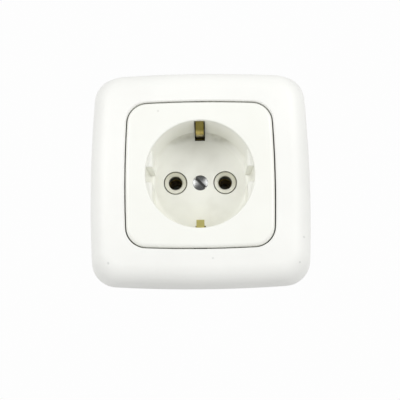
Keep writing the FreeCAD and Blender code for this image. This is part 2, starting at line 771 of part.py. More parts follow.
def make_sleeve_spring(side):
    """Steel clip round the sleeve that keeps its jaws closed."""
    x = side * pin_x
    inner = sleeve_inner_radius + strip
    low_y = pocket_y + sleeve_spring_place
    high_y = low_y + sleeve_spring_width
    spring = rod(inner + sleeve_spring_wall, x, 0, low_y, high_y)
    spring = spring.cut(rod(inner, x, 0, low_y - parting, high_y + parting))
    gap = sleeve_slit
    low, high = sorted((x, x - side * 2 * inner))
    return spring.cut(box(low, high, low_y - parting, high_y + parting, -gap, gap))


def make_clamp_plate(x):
    half = clamp_plate_size / 2
    low_y = pocket_y + strip + wire_space
    foot = -terminal_drop - half
    plate = box(x - half, x + half, low_y, low_y + clamp_plate_wall, foot, foot + clamp_plate_size)
    plate = plate.makeFillet(clamp_plate_corner, upright_edges(plate))
    return plate.cut(rod(terminal_screw_radius + thread_clearance, x, -terminal_drop, 0, base_back_y))


def make_claw(side):
    """Bent steel claw: an eye round the pin, a short leg with a slot for its screw, a long toothed leg."""
    tilt = math.radians(claw_tilt)
    turn = math.radians(claw_tip_turn)
    run = claw_leg_x - claw_pivot_x
    corner = (claw_leg_x, claw_pivot_y + run * math.tan(tilt))
    tip = (claw_leg_x + claw_tip_length * math.sin(turn), claw_leg_end + claw_tip_length * math.cos(turn))
    path = [(claw_pivot_x, claw_pivot_y), corner, (claw_leg_x, claw_leg_end), tip]
    half = claw_width / 2
    radii = 2 * [claw_bend_radius]
    pull = Vector(0, 0, claw_width)
    claw = bent_strip(path, claw_sheet, radii, lambda x, y: Vector(x, y, -half), pull)
    eye = Part.makeCylinder(claw_barrel_radius, claw_width, Vector(claw_pivot_x, claw_pivot_y, -half))
    claw = claw.fuse(eye).removeSplitter()
    hole_radius = claw_pin_radius + claw_pin_clearance
    hole_foot = Vector(claw_pivot_x, claw_pivot_y, -half - parting)
    claw = claw.cut(Part.makeCylinder(hole_radius, claw_width + 2 * parting, hole_foot))
    slot_half = claw_screw_radius + claw_screw_clearance
    lean = claw_sheet / 2 * math.tan(tilt)
    slot_low = (claw_screw_x - slot_half - claw_pivot_x) / math.cos(tilt) - lean
    slot_high = (claw_screw_x + slot_half - claw_pivot_x) / math.cos(tilt) + lean
    slot = box(slot_low, slot_high, -claw_sheet * 2, claw_sheet * 2, -slot_half, slot_half)
    slot.rotate(Vector(0, 0, 0), Vector(0, 0, 1), claw_tilt)
    slot.translate(Vector(claw_pivot_x, claw_pivot_y, 0))
    claw = claw.cut(slot)
    pitch = claw_width / claw_teeth
    end_y = tip[1] + claw_sheet
    near_x = claw_leg_x - claw_tip_length
    for gap in range(1, claw_teeth):
        z = -half + gap * pitch
        notch = [
            Vector(near_x, end_y, z - pitch / 2),
            Vector(near_x, end_y, z + pitch / 2),
            Vector(near_x, tip[1] - claw_tooth_depth, z),
        ]
        wedge = Part.Face(Part.makePolygon(notch + notch[:1])).extrude(Vector(2 * claw_tip_length, 0, 0))
        claw = claw.cut(wedge)
    if side < 0:
        claw.rotate(Vector(0, 0, 0), along_y, 180)
    return claw


def make_claw_pin(side):
    half = claw_width / 2 + lug_gap + lug_wall
    return Part.makeCylinder(claw_pin_radius, 2 * half, Vector(side * claw_pivot_x, claw_pivot_y, -half))


def build_nodes():
    terminal_sizes = (terminal_screw_radius, terminal_head_radius, terminal_head,
                      terminal_screw_length, terminal_slot, terminal_slot_depth)
    claw_sizes = (claw_screw_radius, claw_screw_head_radius, claw_screw_head,
                  claw_screw_length, terminal_slot, terminal_slot_depth)
    lid_sizes = (lid_screw_radius, lid_screw_head_radius, lid_screw_head,
                 lid_screw_length, terminal_slot, terminal_slot_depth / 2)
    nodes = {
        "cover_frame": make_cover_frame(),
        "centre_cover": make_centre_cover(),
        "cover_screw": make_cover_screw(),
        "socket_base": make_socket_base(),
        "rear_lid": make_rear_lid(),
        "support_ring": make_support_ring(),
        "earth_bracket": make_earth_bracket(),
    }
    for name, side in (("live", -1), ("neutral", 1)):
        nodes[name + "_contact"] = make_contact(side)
        nodes[name + "_contact_spring"] = make_sleeve_spring(side)
    for name, x in (("live", -pin_x), ("earth", 0), ("neutral", pin_x)):
        nodes[name + "_terminal_screw"] = slotted_screw(x, -terminal_drop, pocket_y, 1, terminal_sizes)
        nodes[name + "_clamp_plate"] = make_clamp_plate(x)
    for name, side in (("left", -1), ("right", 1)):
        nodes[name + "_claw"] = make_claw(side)
        nodes[name + "_claw_pin"] = make_claw_pin(side)
        nodes[name + "_claw_screw"] = slotted_screw(side * claw_screw_x, 0, ring_front_y, 1, claw_sizes)
    ring_sizes = (ring_rivet_radius, ring_rivet_head_radius, ring_rivet_head, ring_rivet_length)
    bracket_sizes = (bracket_rivet_radius, bracket_rivet_head_radius,
                     bracket_rivet_head, bracket_rivet_length)
    for number, (x, z) in enumerate(pillar_places(), 1):
        nodes["ring_rivet_%d" % number] = make_rivet(ring_sizes, x, z, ring_front_y)
    for number, place in enumerate(bracket_rivet_places, 1):
        nodes["bracket_rivet_%d" % number] = make_rivet(bracket_sizes, 0, place, base_front_y)
    for number, (x, z) in enumerate(lid_screw_places(), 1):
        nodes["lid_screw_%d" % number] = slotted_screw(x, z, lid_back_y, -1, lid_sizes)
    return nodes


os.makedirs("parts", exist_ok=True)
for name, shape in build_nodes().items():
    shape.exportStep("parts/" + name + ".step")
    print(name, "solids", len(shape.Solids), "valid", shape.isValid(), "volume %.1f" % shape.Volume)
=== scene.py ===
import json
import math

import bmesh
import bpy
from mathutils import Matrix, Vector


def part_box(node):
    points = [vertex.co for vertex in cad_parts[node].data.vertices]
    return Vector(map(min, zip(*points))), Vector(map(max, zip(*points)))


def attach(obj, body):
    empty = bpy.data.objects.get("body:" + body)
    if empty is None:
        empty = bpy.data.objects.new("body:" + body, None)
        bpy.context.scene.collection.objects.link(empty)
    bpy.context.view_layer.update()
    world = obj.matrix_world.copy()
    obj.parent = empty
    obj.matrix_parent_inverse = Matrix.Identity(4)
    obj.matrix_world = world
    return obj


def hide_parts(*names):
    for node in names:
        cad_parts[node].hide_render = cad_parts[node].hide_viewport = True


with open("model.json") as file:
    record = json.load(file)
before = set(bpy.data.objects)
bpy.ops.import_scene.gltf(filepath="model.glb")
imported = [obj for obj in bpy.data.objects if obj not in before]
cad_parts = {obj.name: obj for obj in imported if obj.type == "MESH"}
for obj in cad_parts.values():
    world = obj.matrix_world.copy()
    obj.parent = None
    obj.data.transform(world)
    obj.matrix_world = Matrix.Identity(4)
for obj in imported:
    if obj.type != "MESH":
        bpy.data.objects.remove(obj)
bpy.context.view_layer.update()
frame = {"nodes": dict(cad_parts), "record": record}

scene = bpy.context.scene
scene.view_settings.view_transform = "Standard"


def linkUp(item):
    scene.collection.objects.link(item)
    return item


# Camera, worked out from the straight edges and circles of the picture: angles in degrees, places in metres,
# lens and sensor in millimetres
photoCamera = {
    "azimuth": 0.47,
    "elevation": -10.21,
    "roll": -0.51,
    "distance": 0.243,
    "target": (-0.00005, -0.0105, -0.00981),
    "nearest": 0.01,
    "lens": 61.6,
    "sensor": 36.0,
}


def makeCamera(sizes):
    azimuth, elevation, roll = (math.radians(sizes[name]) for name in ("azimuth", "elevation", "roll"))
    flat = math.cos(elevation)
    back = Vector((math.sin(azimuth) * flat, -math.cos(azimuth) * flat, math.sin(elevation)))
    level = Vector((0, 0, 1)).cross(back).normalized()
    upright = back.cross(level)
    right = math.cos(roll) * level + math.sin(roll) * upright
    up = math.cos(roll) * upright - math.sin(roll) * level
    lens = bpy.data.cameras.new("camera")
    lens.sensor_width = sizes["sensor"]
    lens.lens = sizes["lens"]
    lens.clip_start = sizes["nearest"]
    camera = linkUp(bpy.data.objects.new("camera", lens))
    place = Vector(sizes["target"]) + back * sizes["distance"]
    camera.matrix_world = Matrix.Translation(place) @ Matrix((right, up, back)).transposed().to_4x4()
    scene.camera = camera


makeCamera(photoCamera)
print("camera placed")


# Shader sums written as Python: a Wire is one output of a node, and each sum with a Wire adds a node
class Wire:
    def __init__(self, board, socket):
        self.board = board
        self.socket = socket

    def combine(self, operation, first, second):
        # Vector Math where one side is a vector
        kinds = [side.socket.type for side in (first, second) if isinstance(side, Wire)]
        kind = "ShaderNodeVectorMath" if "VECTOR" in kinds else "ShaderNodeMath"
        return self.board.node(kind, {"operation": operation}, {0: first, 1: second})

    def __add__(self, other):
        return self.combine("ADD", self, other)

    def __radd__(self, other):
        return self.combine("ADD", other, self)

    def __sub__(self, other):
        return self.combine("SUBTRACT", self, other)

    def __rsub__(self, other):
        return self.combine("SUBTRACT", other, self)

    def __mul__(self, other):
        return self.combine("MULTIPLY", self, other)

    def __rmul__(self, other):
        return self.combine("MULTIPLY", other, self)

    def __abs__(self):
        return self.board.node("ShaderNodeMath", {"operation": "ABSOLUTE"}, {0: self})


noiseMiddle = 0.5        # a Noise node's own middle height
bevelSamples = 6
mixSockets = {"factor": 0, "first": 6, "second": 7, "colour": 2}        # a Mix node's places for colours


class Board:
    # one material and its nodes
    def __init__(self, name, finish):
        self.material = bpy.data.materials.new(name)
        self.material.use_nodes = True
        self.tree = self.material.node_tree
        self.shader = self.tree.nodes["Principled BSDF"]
        for socket, value in finish.items():
            self.shader.inputs[socket].default_value = value
        self.place = self.node("ShaderNodeTexCoord", {}, {}, "Object")

    def node(self, kind, settings, values, output=0):
        made = self.tree.nodes.new(kind)
        for key, value in settings.items():
            setattr(made, key, value)
        for key, value in values.items():
            if isinstance(value, Wire):
                self.tree.links.new(value.socket, made.inputs[key])
            else:
                made.inputs[key].default_value = value
        return Wire(self, made.outputs[output])

    def noise(self, scale, detail, place=None):
        where = place or self.place
        return self.node("ShaderNodeTexNoise", {}, {"Vector": where, "Scale": scale, "Detail": detail})

    def sway(self, noise, width):
        # a noise as a change down or up, by half of the width at most
        return (noise - noiseMiddle) * width

    def mask(self, value, low, high, start=0.0, end=1.0):
        # start up to low, end from high on, and a soft step between
        limits = {"Value": value, "From Min": low, "From Max": high, "To Min": start, "To Max": end}
        return self.node("ShaderNodeMapRange", {"interpolation_type": "SMOOTHSTEP"}, limits)

    def fade(self, value, low, high, start=1.0):
        # start up to low, and nothing from high on
        return self.mask(value, low, high, start, 0.0)

    def blend(self, factor, first, second, way="MIX"):
        first, second = (side if isinstance(side, Wire) else (*side, 1) for side in (first, second))
        settings = {"data_type": "RGBA", "blend_type": way}
        values = {mixSockets["factor"]: factor, mixSockets["first"]: first, mixSockets["second"]: second}
        return self.node("ShaderNodeMix", settings, values, mixSockets["colour"])

    def axis(self, name):
        return self.node("ShaderNodeSeparateXYZ", {}, {0: self.place}, name)

    def reach(self, x=0.0, z=0.0):
        # distance from a line along the plug axis
        ends = {0: self.place * (1, 0, 1), 1: (x, 0, z)}
        return self.node("ShaderNodeVectorMath", {"operation": "DISTANCE"}, ends, "Value")

    def length(self, first, second):
        # distance from a line, from the offsets along two axes
        corner = self.node("ShaderNodeCombineXYZ", {}, {0: first, 1: second})
        return self.node("ShaderNodeVectorMath", {"operation": "LENGTH"}, {0: corner}, "Value")

    def bump(self, height, depth, strength, soften):
        # fine relief, on edges that look a little rounded
        rounded = self.node("ShaderNodeBevel", {"samples": bevelSamples}, {"Radius": soften})
        values = {"Height": height, "Distance": depth, "Strength": strength, "Normal": rounded}
        return self.node("ShaderNodeBump", {}, values)

    def finish(self, colour, roughness, normal):
        for name, wire in (("Base Color", colour), ("Roughness", roughness), ("Normal", normal)):
            self.tree.links.new(wire.socket, self.shader.inputs[name])
        return self.material


# In the paints below, X is to the right, Y into the wall, whose face is at 0, and Z up, all in metres. A pair
# of numbers is where a soft step starts and ends: on an axis, in reach from one, or in a noise's height. The
# cover and the base are painted round the recess, so most of their steps are measured from its floor or its
# radius, or from the cover's front or side
recessSizes = {
    "radius": 0.01965,        # at the front
    "depth": 0.0175,        # from the cover's front to the recess's floor
}
coverLow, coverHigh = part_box("centre_cover")
coverFront, coverSide = coverLow[1], coverHigh[0]
recessFloor = coverFront + recessSizes["depth"]
pinPlaces = [mount["pos_m"][0] for mount in frame["record"]["mounts"] if mount["name"].endswith("pin_hole")]


def stepsFrom(start, steps):
    # steps measured from a place, as places on its axis
    return [start + step for step in steps]


smoothSkin = {        # what frame and cover share
    "refraction": 1.5,
    "cloudStep": (0.35, 0.70),
    "grain": {"scale": 2600, "detail": 2},
    "grainDepth": 0.000004,
    "roughSpread": 0.08,
    "soften": 0.00025,
}
insertSkin = {        # what base and lid share
    "refraction": 1.5,
    "clouds": {"scale": 60, "detail": 3},
    "cloudStep": (0.30, 0.70),
    "grain": {"scale": 1900, "detail": 3},
    "grainDepth": 0.000008,
    "grainStrength": 0.7,
    "roughSpread": 0.12,
    "soften": 0.0002,
}


def startPlastic(name, paint):
    board = Board(name, {"IOR": paint["refraction"]})
    cloud = board.noise(**paint["clouds"])
    return board, cloud, board.blend(board.mask(cloud, *paint["cloudStep"]), paint["light"], paint["shade"])


def endPlastic(board, cloud, colour, paint):
    rough = paint["roughness"] + board.sway(cloud, paint["roughSpread"])
    grain = board.noise(**paint["grain"])
    relief = board.bump(grain, paint["grainDepth"], paint["grainStrength"], paint["soften"])
    return board.finish(colour, rough, relief)


# Moulding specks. A speck's row gives the X and Z of its middle and its radius
speckSizes = {
    "core": 0.3,        # share of the radius that is evenly dark
    "rim": 1.6,         # share of the radius where it has faded out
    "frontY": (-0.006, -0.003),
}


def speckMask(board, specks):
    spots = sum(board.fade(board.reach(x, z), radius * speckSizes["core"], radius * speckSizes["rim"])
                for x, z, radius in specks)
    return spots * board.fade(board.axis("Y"), *speckSizes["frontY"])


# White frame plastic
framePaint = {
    **smoothSkin,
    "light": (0.900, 0.902, 0.870),
    "shade": (0.872, 0.874, 0.842),
    "clouds": {"scale": 38, "detail": 2},
    "grainStrength": 0.6,
    "roughness": 0.50,
    "speck": (0.55, 0.56, 0.54),
    "specks": ((-0.03255, -0.0318, 0.00042), (0.00432, -0.03043, 0.00036), (0.0368, -0.02304, 0.0004),
               (0.03494, -0.0320, 0.00034)),
    "speckNoise": {"scale": 1500, "detail": 1},
    "speckStep": (0.30, 0.60),
    "speckStrength": (0.35, 0.60),
}


def makeFramePlastic(paint):
    board, cloud, colour = startPlastic("frame plastic", paint)
    uneven = board.mask(board.noise(**paint["speckNoise"]), *paint["speckStep"], *paint["speckStrength"])
    colour = board.blend(speckMask(board, paint["specks"]) * uneven, colour, paint["speck"])
    return endPlastic(board, cloud, colour, paint)


# Cover plastic, slightly warmer than the frame's, and painted paler inside the recess as painted light. Dust
# lies deep in the recess, and painted shade darkens the crease above its floor, the edges of the earth
# windows and the gap right of the cover
coverPaint = {
    **smoothSkin,
    "light": (0.900, 0.905, 0.855),
    "shade": (0.880, 0.885, 0.828),
    "clouds": {"scale": 45, "detail": 2},
    "grainStrength": 0.5,
    "roughness": 0.30,
    "litInnerLight": (0.937, 0.940, 0.882),
    "litInnerShade": (0.922, 0.925, 0.860),
    "innerFromFront": (0.0012, 0.0020),
    "speck": (0.55, 0.55, 0.50),
    "specks": ((-0.01505, 0.02326, 0.00035),),
    "speckStrength": 0.45,
    "dust": {"colour": (0.62, 0.60, 0.53), "strength": 0.16, "fromFloor": (-0.006, 0.0),
             "noise": {"scale": 160, "detail": 3}, "step": (0.42, 0.75)},
    "creaseShade": {"colour": (0.50, 0.49, 0.43), "strength": 0.80, "fromRadius": -0.00115, "fromFloor": -0.0011,
               "width": (0.0003, 0.0026), "height": (0.0138, 0.0172), "noise": {"scale": 300, "detail": 3},
               "step": (0.30, 0.65), "thinnest": 0.55},
    "windows": {"colour": (0.085, 0.078, 0.040), "strength": 0.92, "halfWidth": (0.0022, 0.0025),
                "wallFromRadius": (0.0, 0.0004), "floorFromRadius": (-0.00345, -0.00325),
                "fromFloor": (0.00005, 0.0003)},
    "gap": {"colour": (0.16, 0.155, 0.13), "strength": 0.8, "fromSide": (-0.0006, -0.0001),
            "fromFront": (0.0007, 0.0017)},
}


def paintDust(board, colour, dust):
    deep = board.mask(board.axis("Y"), *stepsFrom(recessFloor, dust["fromFloor"]))
    patches = board.mask(board.noise(**dust["noise"]), *dust["step"])
    return board.blend(deep * patches * dust["strength"], colour, dust["colour"])


def paintCreaseShade(board, colour, creaseShade):
    # painted shade: a soft dark line round the edge of the floor, only in the top of the recess
    outward = board.reach() - (recessSizes["radius"] + creaseShade["fromRadius"])
    away = board.length(outward, board.axis("Y") - (recessFloor + creaseShade["fromFloor"]))
    line = board.fade(away, *creaseShade["width"]) * board.mask(board.axis("Z"), *creaseShade["height"])
    uneven = board.mask(board.noise(**creaseShade["noise"]), *creaseShade["step"], creaseShade["thinnest"])
    return board.blend(line * uneven * creaseShade["strength"], colour, creaseShade["colour"], "MULTIPLY")


def paintWindowShade(board, colour, inside, windows):
    # painted shade on the windows' edges in the wall of the recess and in its floor
    inWall = board.mask(board.reach(), *stepsFrom(recessSizes["radius"], windows["wallFromRadius"])) * inside
    inFloor = board.mask(board.reach(), *stepsFrom(recessSizes["radius"], windows["floorFromRadius"]))
    inFloor = inFloor * board.mask(board.axis("Y"), *stepsFrom(recessFloor, windows["fromFloor"]))
    edges = board.node("ShaderNodeMath", {"operation": "MAXIMUM"}, {0: inWall, 1: inFloor})
    paintedShadow = board.fade(abs(board.axis("X")), *windows["halfWidth"]) * edges
    return board.blend(paintedShadow * windows["strength"], colour, windows["colour"])


def paintGapShade(board, colour, gap):
    # painted shade in the gap along the right side of the cover
    edge = board.mask(board.axis("X"), *stepsFrom(coverSide, gap["fromSide"]))
    edge = edge * board.mask(board.axis("Y"), *stepsFrom(coverFront, gap["fromFront"]))
    return board.blend(edge * gap["strength"], colour, gap["colour"])


def makeCoverPlastic(paint):
    board, cloud, colour = startPlastic("cover plastic", paint)
    # painted light: inside the recess the plastic is painted paler than at the front
    inside = board.mask(board.axis("Y"), *stepsFrom(coverFront, paint["innerFromFront"]))
    inner = board.blend(board.mask(cloud, *paint["cloudStep"]), paint["litInnerLight"], paint["litInnerShade"])
    colour = board.blend(inside, colour, inner)
    colour = paintDust(board, colour, paint["dust"])
    colour = paintCreaseShade(board, colour, paint["creaseShade"])
    colour = board.blend(speckMask(board, paint["specks"]) * paint["speckStrength"], colour, paint["speck"])
    colour = paintWindowShade(board, colour, inside, paint["windows"])
    colour = paintGapShade(board, colour, paint["gap"])
    return endPlastic(board, cloud, colour, paint)


# Base plastic. Painted shade makes the bores behind the pin holes near black and the low walls behind the
# earth windows dark; the collars round the holes carry painted shade and some grime, most above and to the
# right
basePaint = {
    **insertSkin,
    "light": (0.875, 0.872, 0.790),
    "shade": (0.845, 0.838, 0.745),
    "roughness": 0.42,
    "boreShade": {"colour": (0.010, 0.009, 0.006), "strength": 0.97, "reach": (0.00252, 0.00282),
             "fromFloor": (0.0001, 0.0007)},
    "collar": {"colour": (0.60, 0.59, 0.49), "inner": (0.00272, 0.0044), "innerStrength": 0.75,
               "outer": (0.0048, 0.0051), "rightward": 0.5, "upward": 0.85, "uneven": 0.002,
               "lean": (-0.003, 0.0035), "leanStrength": (0.15, 0.80)},
    "windows": {"colour": (0.060, 0.054, 0.028), "strength": 0.93, "halfWidth": (0.0024, 0.0028),
                "nearFromRadius": (-0.00395, -0.00365), "farFromRadius": (0.00265, 0.00295),
                "fromFloor": (0.0030, 0.0042)},
}


def paintCollarShadeAndGrime(board, colour, cloud, x, collar):
    # painted shade with some grime, thicker upwards, rightwards and towards the outer edge, and none past it
    lean = (board.axis("X") - x) * collar["rightward"] + board.axis("Z") * collar["upward"]
    lean = lean + board.sway(cloud, collar["uneven"])
    shadeAndGrime = board.mask(lean, *collar["lean"], *collar["leanStrength"])
    shadeAndGrime = shadeAndGrime * board.mask(board.reach(x), *collar["inner"], collar["innerStrength"])
    shadeAndGrime = shadeAndGrime * board.fade(board.reach(x), *collar["outer"])
    return board.blend(shadeAndGrime, colour, collar["colour"], "MULTIPLY")


def paintBoreShade(board, colour, x, boreShade):
    # painted shade: the bore behind the pin hole is painted near black
    inside = board.fade(board.reach(x), *boreShade["reach"])
    inside = inside * board.mask(board.axis("Y"), *stepsFrom(recessFloor, boreShade["fromFloor"]))
    return board.blend(inside * boreShade["strength"], colour, boreShade["colour"])


def paintShadeBehindWindows(board, colour, windows):
    # painted shade: the low walls of the base that close the windows behind are painted dark
    dark = board.fade(abs(board.axis("X")), *windows["halfWidth"])
    dark = dark * board.mask(board.reach(), *stepsFrom(recessSizes["radius"], windows["nearFromRadius"]))
    dark = dark * board.fade(board.reach(), *stepsFrom(recessSizes["radius"], windows["farFromRadius"]))
    dark = dark * board.fade(board.axis("Y"), *stepsFrom(recessFloor, windows["fromFloor"]))
    return board.blend(dark * windows["strength"], colour, windows["colour"])


def makeBasePlastic(paint):
    board, cloud, colour = startPlastic("base plastic", paint)
    for x in pinPlaces:
        colour = paintCollarShadeAndGrime(board, colour, cloud, x, paint["collar"])
        colour = paintBoreShade(board, colour, x, paint["boreShade"])
    colour = paintShadeBehindWindows(board, colour, paint["windows"])
    return endPlastic(board, cloud, colour, paint)


# Plain plastic of the rear lid, greyer than the base
lidPaint = {
    **insertSkin,
    "light": (0.72, 0.71, 0.67),
    "shade": (0.66, 0.65, 0.60),
    "roughness": 0.5,
}


def makeLidPlastic(paint):
    return endPlastic(*startPlastic("lid plastic", paint), paint)


# Fingers of the earth bracket: the upper one has painted shade before and behind its crest and along its
# sides, and the lower one is painted paler towards its front
fingerPaint = {
    "uneven": 0.0016,
    "upperZ": (-0.001, 0.001),
    "beforeY": (-0.0063, -0.0053),
    "beforeStrength": 0.80,
    "dark": (0.055, 0.045, 0.012),
    "sideMiddle": -0.0002,        # the stripe along the crest that is left without painted shade lies a little to the left
    "sideReach": (0.0009, 0.0013),
    "sideY": (-0.0049, -0.0035),
    "sideStrength": 0.72,
    "behindY": (-0.0015, 0.0035),
    "behindStrength": 0.88,
    "lowerPale": (0.80, 0.735, 0.30),
    "lowerPaleZ": (-0.0150, -0.0140),
    "lowerPaleY": (0.004, 0.008),
    "lowerPaleStrength": 0.85,
}


def paintFingers(board, colour, stain, cloud, paint):
    depth = board.axis("Y") + board.sway(cloud, paint["uneven"])
    upper = board.mask(board.axis("Z"), *paint["upperZ"])
    before = board.fade(depth, *paint["beforeY"], paint["beforeStrength"])
    beside = abs(board.axis("X") - paint["sideMiddle"])
    side = board.mask(beside, *paint["sideReach"], end=paint["sideStrength"])
    side = side * board.mask(depth, *paint["sideY"])
    behind = board.mask(depth, *paint["behindY"], end=paint["behindStrength"])
    # painted shade on the upper finger: before and behind the crest and along its sides
    for fingerShade, tone in ((before, stain), (side, paint["dark"]), (behind, paint["dark"])):
        colour = board.blend(fingerShade * upper, colour, tone)
    # the lower finger is painted paler towards its front
    lower = board.fade(board.axis("Z"), *paint["lowerPaleZ"], paint["lowerPaleStrength"])
    return board.blend(lower * board.fade(depth, *paint["lowerPaleY"]), colour, paint["lowerPale"])


# Sheet metals and small steel pieces: rolled lines, clouds and stains. A metal's lines say how fine its
# streaks are along X, Y and Z
metalSkin = {
    "streaks": {"scale": 1.0, "detail": 3},        # the lines alone set how fine they are
    "streakStep": (0.30, 0.70),
    "clouds": {"scale": 130, "detail": 4},
    "cloudStep": (0.35, 0.70),
    "cloudStrength": (0.20, 0.90),
    "stains": {"scale": 420, "detail": 3},
    "stainStep": (0.45, 0.72),
    "roughSpread": 0.16,
    "stainRoughness": 0.10,
    "streakDepth": 0.000006,
    "streakStrength": 0.6,
}
metalPaints = {
    "ring zinc": {"bright": (0.72, 0.73, 0.74), "dull": (0.60, 0.61, 0.62), "stain": (0.45, 0.46, 0.46),
                  "roughness": 0.33, "lines": (2600, 300, 60), "soften": 0.0001},
    "contact brass": {"bright": (0.62, 0.49, 0.22), "dull": (0.50, 0.39, 0.15), "stain": (0.17, 0.135, 0.04),
                      "roughness": 0.34, "lines": (2400, 200, 200), "soften": 0.0001},
    "earth brass": {"bright": (0.62, 0.50, 0.18), "dull": (0.50, 0.40, 0.13), "stain": (0.165, 0.14, 0.032),
                    "roughness": 0.34, "lines": (2400, 200, 200), "soften": 0.0001, "fingers": fingerPaint},
    "spring steel": {"bright": (0.48, 0.49, 0.52), "dull": (0.38, 0.39, 0.42), "stain": (0.25, 0.25, 0.27),
                     "roughness": 0.30, "lines": (400, 2600, 400), "soften": 0.00008},
    "terminal steel": {"bright": (0.70, 0.69, 0.66), "dull": (0.60, 0.59, 0.56), "stain": (0.42, 0.40, 0.36),
                       "roughness": 0.30, "lines": (1500, 1500, 1500), "soften": 0.0001},
    "rivet steel": {"bright": (0.64, 0.64, 0.64), "dull": (0.54, 0.54, 0.54), "stain": (0.38, 0.37, 0.36),
                    "roughness": 0.36, "lines": (900, 900, 900), "soften": 0.0001},
}


def makeMetal(name, paint, skin):
    board = Board(name, {"Metallic": 1.0})
    streak = board.noise(**skin["streaks"], place=board.place * paint["lines"])
    cloud = board.noise(**skin["clouds"])
    stains = board.mask(board.noise(**skin["stains"]), *skin["stainStep"])
    colour = board.blend(board.mask(streak, *skin["streakStep"]), paint["bright"], paint["dull"])
    cloudy = board.mask(cloud, *skin["cloudStep"], *skin["cloudStrength"])
    colour = board.blend(stains * cloudy, colour, paint["stain"])
    if "fingers" in paint:
        colour = paintFingers(board, colour, paint["stain"], cloud, paint["fingers"])
    rough = paint["roughness"] + board.sway(streak, skin["roughSpread"]) + stains * skin["stainRoughness"]
    relief = board.bump(streak, skin["streakDepth"], skin["streakStrength"], paint["soften"])
    return board.finish(colour, rough, relief)


# Turned head of the cover screw: fine rings round the plug axis, with painted reflection that is brighter to
# the sides than above and below, and painted shade in and along the slot, which runs at 45 degrees
screwPaint = {
    "bright": (0.36, 0.365, 0.36),
    "worn": (0.27775, 0.28205, 0.2788),
    "dull": (0.125, 0.128, 0.128),
    "clouds": {"scale": 500, "detail": 3},
    "cloudStep": (0.35, 0.70),
    "sideStep": (-0.0010, 0.0014),        # in how much further a point is to the side than up or down
    "sideUneven": 0.0008,
    "slotShade": (0.055, 0.055, 0.052),
    "slotReach": (0.0004875, 0.000975),        # in X plus Z, which is 0 on the slot's middle line
    "slotUneven": 0.0004,
    "slotStrength": 0.92,
    "ringPitch": 0.00022,
    "ringNoise": {"scale": 900, "detail": 2},
    "ringWobble": 2,
    "ringDepth": 0.000003,
    "ringStrength": 0.5,
    "ringRoughness": 0.03,
    "roughness": 0.27,
    "roughSpread": 0.2,
    "soften": 0.00012,
}


def makeScrewZinc(paint):
    board = Board("screw zinc", {"Metallic": 1.0})
    wobble = board.noise(**paint["ringNoise"]) * paint["ringWobble"]
    turns = board.reach() * (2 * math.pi / paint["ringPitch"]) + wobble
    rings = board.node("ShaderNodeMath", {"operation": "SINE"}, {0: turns})
    cloud = board.noise(**paint["clouds"])
    # painted reflection: the head is paler to the sides and darker above and below
    highlightSide = abs(board.axis("X")) - abs(board.axis("Z")) + board.sway(cloud, paint["sideUneven"])
    patchy = board.blend(board.mask(cloud, *paint["cloudStep"]), paint["bright"], paint["worn"])
    colour = board.blend(board.mask(highlightSide, *paint["sideStep"]), paint["dull"], patchy)
    # painted shade in and along the slot
    across = abs(board.axis("X") + board.axis("Z")) + board.sway(cloud, paint["slotUneven"])
    paintedShadow = board.fade(across, *paint["slotReach"], paint["slotStrength"])
    colour = board.blend(paintedShadow, colour, paint["slotShade"])
    rough = paint["roughness"] + board.sway(cloud, paint["roughSpread"]) + rings * paint["ringRoughness"]
    relief = board.bump(rings, paint["ringDepth"], paint["ringStrength"], paint["soften"])
    return board.finish(colour, rough, relief)


metals = {name: makeMetal(name, paint, metalSkin) for name, paint in metalPaints.items()}
finishes = {        # a node takes the first finish whose key is in its name, or else ring zinc
    "cover_frame": makeFramePlastic(framePaint),
    "centre_cover": makeCoverPlastic(coverPaint),
    "socket_base": makeBasePlastic(basePaint),
    "rear_lid": makeLidPlastic(lidPaint),
    "cover_screw": makeScrewZinc(screwPaint),
    "earth_bracket": metals["earth brass"],
    "contact_spring": metals["spring steel"],
    "contact": metals["contact brass"],
    "terminal_screw": metals["terminal steel"],
    "clamp_plate": metals["terminal steel"],
    "rivet": metals["rivet steel"],
}
print("finishes made")


def finishOf(node):
    return next((finish for part, finish in finishes.items() if part in node), metals["ring zinc"])


def bodyOf(node):
    return next(body for body, members in frame["record"]["behaviour"]["bodies"].items() if node in members)


# Every moulded, folded and turned piece keeps its exact form: its loose triangles are joined and shaded round
surfaceSizes = {
    "joinWithin": 2e-7,
    "sharpAngle": 28.0,        # degrees, from which an edge stays sharp
    "evenness": 60,        # above 50, large faces and wide corners count more
}


def bakeDown(piece):
    # the modifiers' result becomes the plain mesh
    bpy.context.view_layer.update()
    graph = bpy.context.evaluated_depsgraph_get()
    solid = bpy.data.meshes.new_from_object(piece.evaluated_get(graph))
    piece.modifiers.clear()
    piece.data = solid


def roundShading(piece, sizes):
    shape = bmesh.new()
    shape.from_mesh(piece.data)
    bmesh.ops.remove_doubles(shape, verts=shape.verts, dist=sizes["joinWithin"])
    bmesh.ops.dissolve_degenerate(shape, edges=shape.edges, dist=sizes["joinWithin"])
    limit = math.radians(sizes["sharpAngle"])
    for face in shape.faces:
        face.smooth = True
    for edge in shape.edges:
        edge.smooth = len(edge.link_faces) == 2 and edge.calc_face_angle(0) < limit
    shape.to_mesh(piece.data)
    shape.free()
    weights = piece.modifiers.new("weights", "WEIGHTED_NORMAL")
    weights.mode = "FACE_AREA_WITH_ANGLE"
    weights.keep_sharp = True
    weights.weight = sizes["evenness"]
    bakeDown(piece)


